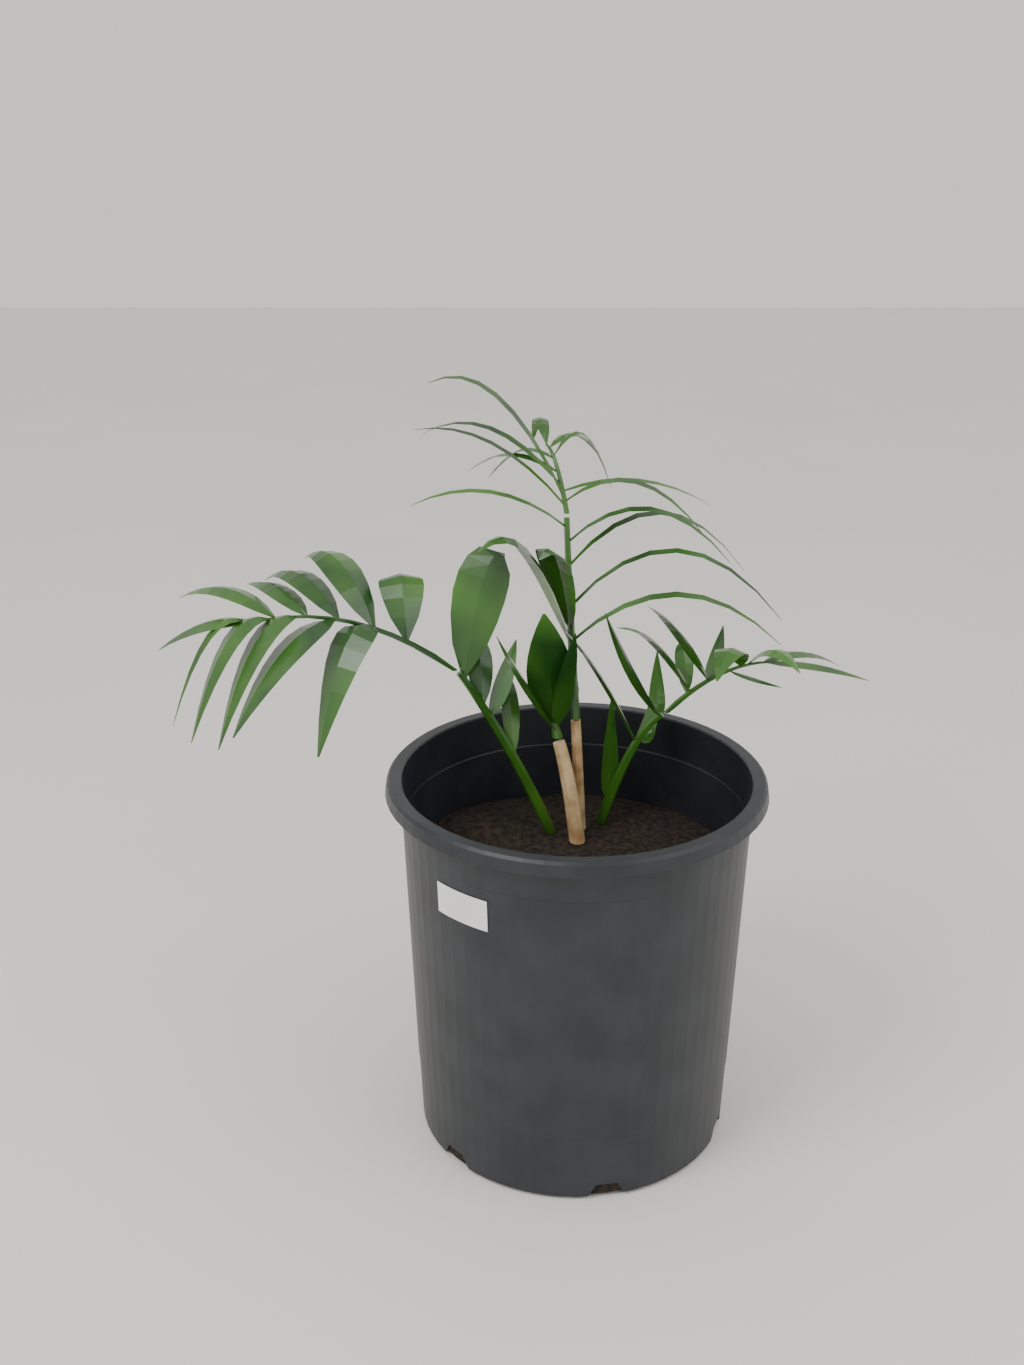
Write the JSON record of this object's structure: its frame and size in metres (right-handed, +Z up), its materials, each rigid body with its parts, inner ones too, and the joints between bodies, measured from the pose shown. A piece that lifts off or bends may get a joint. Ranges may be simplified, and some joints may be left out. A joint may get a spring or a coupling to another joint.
{
  "type": "potted palm",
  "caption": "Young feather-leaved palm with arching fronds on slender canes, in a round black nursery pot.",
  "frame": {"origin": "centre of the pot's flat underside", "axes": "+Z up; the view of the picture looks along +Y, with +X to its right"},
  "size_m": [0.5259, 0.3012, 0.5681],
  "materials": {
    "pot_black": "satin black moulded plastic",
    "potting_mix": "damp dark potting mix",
    "label_white": "blank white film label",
    "cane_tan": "tan ringed cane",
    "leaf_green": "glossy green leaf"
  },
  "bodies": {
    "root": {"pot": "pot_black", "potting_mix": "potting_mix", "label": "label_white", "cane_thick": "cane_tan", "cane_thin": "cane_tan", "leaf_split": "leaf_green", "frond_left_stalk": "leaf_green", "frond_left": "leaf_green", "frond_right_stalk": "leaf_green", "frond_right": "leaf_green", "frond_top_stalk": "leaf_green", "frond_top": "leaf_green"}
  },
  "joints": []
}
